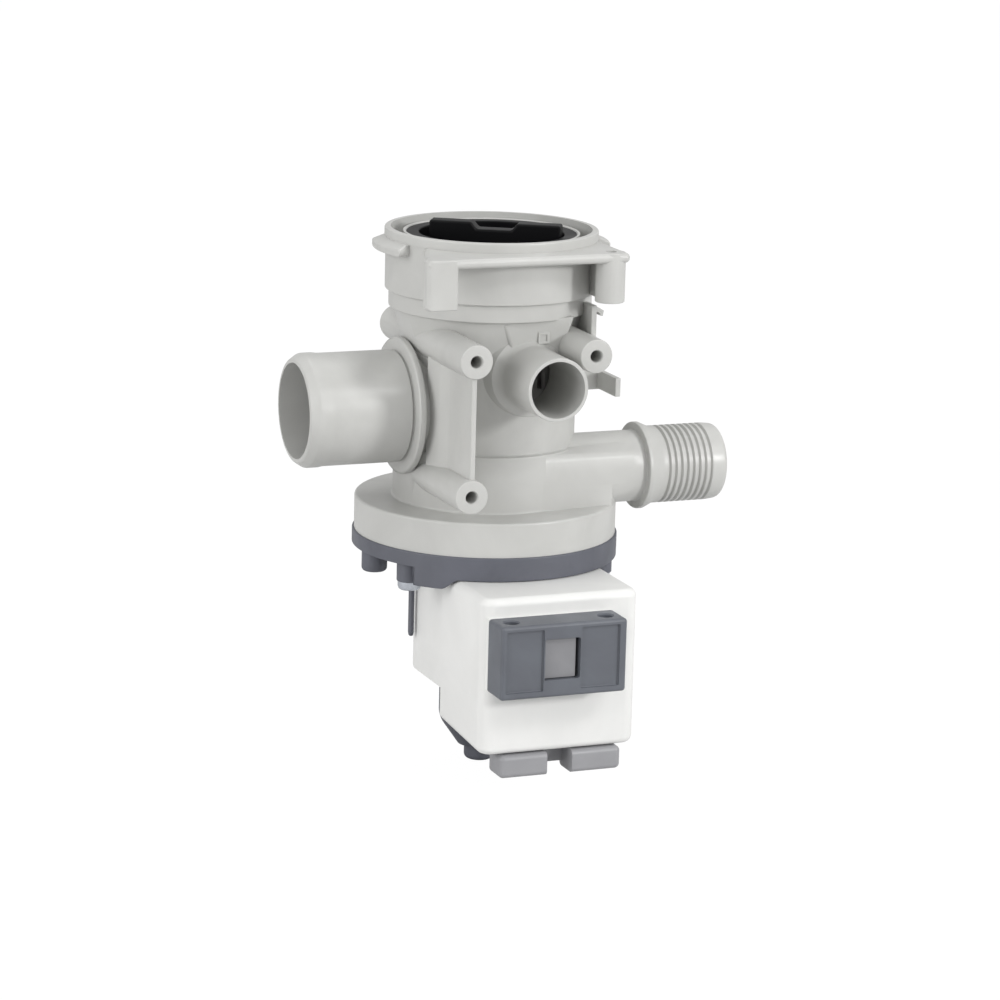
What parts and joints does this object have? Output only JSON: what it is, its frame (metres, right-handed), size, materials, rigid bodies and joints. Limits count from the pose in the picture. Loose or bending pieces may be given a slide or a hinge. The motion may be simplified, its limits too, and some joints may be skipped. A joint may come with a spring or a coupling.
{
  "type": "washer drain pump",
  "caption": "Washing machine drain pump: filter mouth with screw-in knob, side inlet, vent and barbed outlet spigots, chamber, and a synchronous motor with socket below.",
  "frame": {"origin": "centre of the filter mouth's top edge", "axes": "+Z out of the filter mouth along the pump and motor axis, -Y along the screw bosses and the vent spigot, -X along the inlet spigot, +X along the outlet spigot"},
  "size_m": [0.156, 0.1297, 0.198],
  "materials": {
    "housing_plastic": "moulded, fine satin",
    "knob_plastic": "moulded, satin",
    "seal_rubber": "moulded rubber",
    "bracket_plastic": "moulded, glass filled",
    "screw_steel": "zinc plated",
    "overmould_plastic": "moulded, slightly rough",
    "connector_plastic": "moulded, glass filled",
    "bobbin_plastic": "moulded",
    "pin_metal": "tin plated brass",
    "winding_copper": "enamelled wire",
    "cutout_plastic": "moulded",
    "lamination_steel": "stacked sheet",
    "impeller_plastic": "moulded",
    "shaft_steel": "ground",
    "ferrite": "sintered ferrite",
    "bearing_bronze": "sintered bronze"
  },
  "bodies": {
    "pump_body": {"pump_housing": "housing_plastic", "motor_bracket": "bracket_plastic", "flange_screws": "screw_steel", "chamber_seal": "seal_rubber", "bearing_plate": "bracket_plastic", "lip_seal": "seal_rubber", "front_bearing": "bearing_bronze", "bearing_cushion": "seal_rubber", "rear_bearing": "bearing_bronze", "stator_overmould": "overmould_plastic", "stator_core": "lamination_steel", "coil_bobbin": "bobbin_plastic", "coil_windings": "winding_copper", "thermal_cutout": "cutout_plastic", "connector_block": "connector_plastic", "terminal_holder": "bobbin_plastic", "terminal_pins": "pin_metal"},
    "impeller_unit": {"impeller": "impeller_plastic", "impeller_shaft": "shaft_steel", "driven_dog": "impeller_plastic", "thrust_washers": "shaft_steel"},
    "magnet_unit": {"rotor_magnet": "ferrite", "magnet_hub": "impeller_plastic", "dog_bumper": "seal_rubber"},
    "filter_slide": {"filter_seal": "seal_rubber"},
    "filter_unit": {"filter_knob": "knob_plastic", "filter_cage": "knob_plastic"}
  },
  "joints": [
    {"name": "impeller_spin", "type": "hinge", "parent": "pump_body", "child": "impeller_unit", "pos_m": [0, 0, -0.098], "axis": [0, 0, 1], "continuous": true},
    {"name": "magnet_slip", "type": "hinge", "parent": "impeller_unit", "child": "magnet_unit", "pos_m": [0, 0, -0.13], "axis": [0, 0, 1], "range_deg": [-115, 115]},
    {"name": "filter_lift", "type": "slide", "parent": "pump_body", "child": "filter_slide", "axis": [0, 0, 1], "range_m": [0, 0.009]},
    {"name": "filter_twist", "type": "hinge", "parent": "filter_slide", "child": "filter_unit", "pos_m": [0, 0, -0.0175], "axis": [0, 0, 1], "range_deg": [0, 300]}
  ],
  "couplings": [
    {"joint": "filter_lift", "follows": "filter_twist", "m_per_rad": 0.001718}
  ]
}
